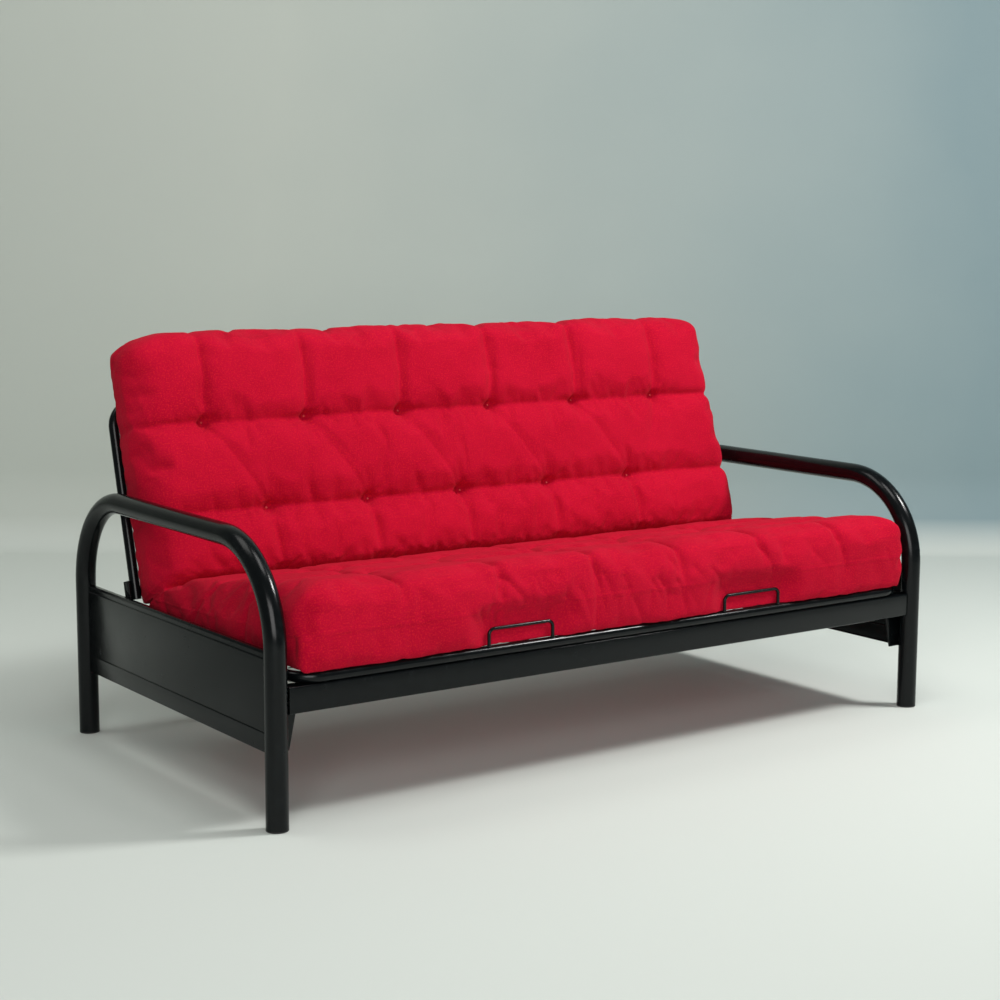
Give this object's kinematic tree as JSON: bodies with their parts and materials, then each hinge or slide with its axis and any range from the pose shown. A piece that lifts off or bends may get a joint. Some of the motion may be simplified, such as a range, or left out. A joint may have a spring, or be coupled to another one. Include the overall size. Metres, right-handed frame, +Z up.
{
  "type": "futon sofa bed",
  "caption": "Bifold futon sofa bed: bent-tube steel arms, hinged seat and back decks, and one folded, tufted mattress that lies flat as a bed.",
  "frame": {"origin": "on the floor, in the middle of the four legs", "axes": "+Z up, +X to the right-hand arm as seen from the front, +Y to the back; the sitter faces -Y"},
  "size_m": [2.0008, 1.0508, 1.0218],
  "materials": {
    "frame_enamel": "gloss black baked enamel",
    "grid_enamel": "satin black baked enamel",
    "glide_plastic": "matt black",
    "zinc_steel": "zinc plated",
    "nylon": "natural nylon",
    "mattress_cotton": "bright red cotton plain weave"
  },
  "bodies": {
    "arm_frame": {"left_arm_hoop": "frame_enamel", "left_end_panel": "frame_enamel", "right_arm_hoop": "frame_enamel", "right_end_panel": "frame_enamel", "front_rail": "frame_enamel", "rear_rail": "frame_enamel", "front_left_leg_glide": "glide_plastic", "front_left_corner_bracket": "frame_enamel", "front_left_rail_bolt_lower": "zinc_steel", "front_left_rail_bolt_upper": "zinc_steel", "front_right_leg_glide": "glide_plastic", "front_right_corner_bracket": "frame_enamel", "front_right_rail_bolt_lower": "zinc_steel", "front_right_rail_bolt_upper": "zinc_steel", "rear_left_leg_glide": "glide_plastic", "rear_left_corner_bracket": "frame_enamel", "rear_left_rail_bolt_lower": "zinc_steel", "rear_left_rail_bolt_upper": "zinc_steel", "rear_right_leg_glide": "glide_plastic", "rear_right_corner_bracket": "frame_enamel", "rear_right_rail_bolt_lower": "zinc_steel", "rear_right_rail_bolt_upper": "zinc_steel", "left_pivot_bracket": "frame_enamel", "left_pivot_bolt": "zinc_steel", "left_pivot_nut": "zinc_steel", "left_inner_washer": "nylon", "left_outer_washer": "nylon", "right_pivot_bracket": "frame_enamel", "right_pivot_bolt": "zinc_steel", "right_pivot_nut": "zinc_steel", "right_inner_washer": "nylon", "right_outer_washer": "nylon"},
    "seat_deck": {"seat_deck_frame_tube": "frame_enamel", "seat_deck_cross_tube": "frame_enamel", "seat_deck_wire_grid": "grid_enamel", "seat_deck_left_support_tube": "frame_enamel", "seat_deck_right_support_tube": "frame_enamel", "left_seat_hinge_plate": "frame_enamel", "left_pawl_rivet": "zinc_steel", "left_mattress_retainer": "frame_enamel", "right_seat_hinge_plate": "frame_enamel", "right_pawl_rivet": "zinc_steel", "right_mattress_retainer": "frame_enamel", "mattress_seat": "mattress_cotton"},
    "back_deck": {"back_deck_frame_tube": "frame_enamel", "back_deck_cross_tube": "frame_enamel", "back_deck_wire_grid": "grid_enamel", "back_deck_left_support_tube": "frame_enamel", "back_deck_right_support_tube": "frame_enamel", "left_back_hinge_plate": "frame_enamel", "right_back_hinge_plate": "frame_enamel", "mattress_back": "mattress_cotton"},
    "left_pawl_lever": {"left_pawl": "zinc_steel"},
    "right_pawl_lever": {"right_pawl": "zinc_steel"}
  },
  "joints": [
    {"name": "seat_lift", "type": "hinge", "parent": "arm_frame", "child": "seat_deck", "pos_m": [0, 0.3, 0.328], "axis": [-1, 0, 0], "range_deg": [0, 20]},
    {"name": "back_recline", "type": "hinge", "parent": "seat_deck", "child": "back_deck", "pos_m": [0, 0.3, 0.328], "axis": [-1, 0, 0], "range_deg": [0, 75]},
    {"name": "left_pawl_release", "type": "hinge", "parent": "seat_deck", "child": "left_pawl_lever", "pos_m": [-0.943, 0.24804, 0.358], "axis": [1, 0, 0], "range_deg": [0, 15], "stiffness_Nm_per_rad": 0.1, "springref_deg": -17.19},
    {"name": "right_pawl_release", "type": "hinge", "parent": "seat_deck", "child": "right_pawl_lever", "pos_m": [0.943, 0.24804, 0.358], "axis": [1, 0, 0], "range_deg": [0, 15], "stiffness_Nm_per_rad": 0.1, "springref_deg": -17.19}
  ]
}
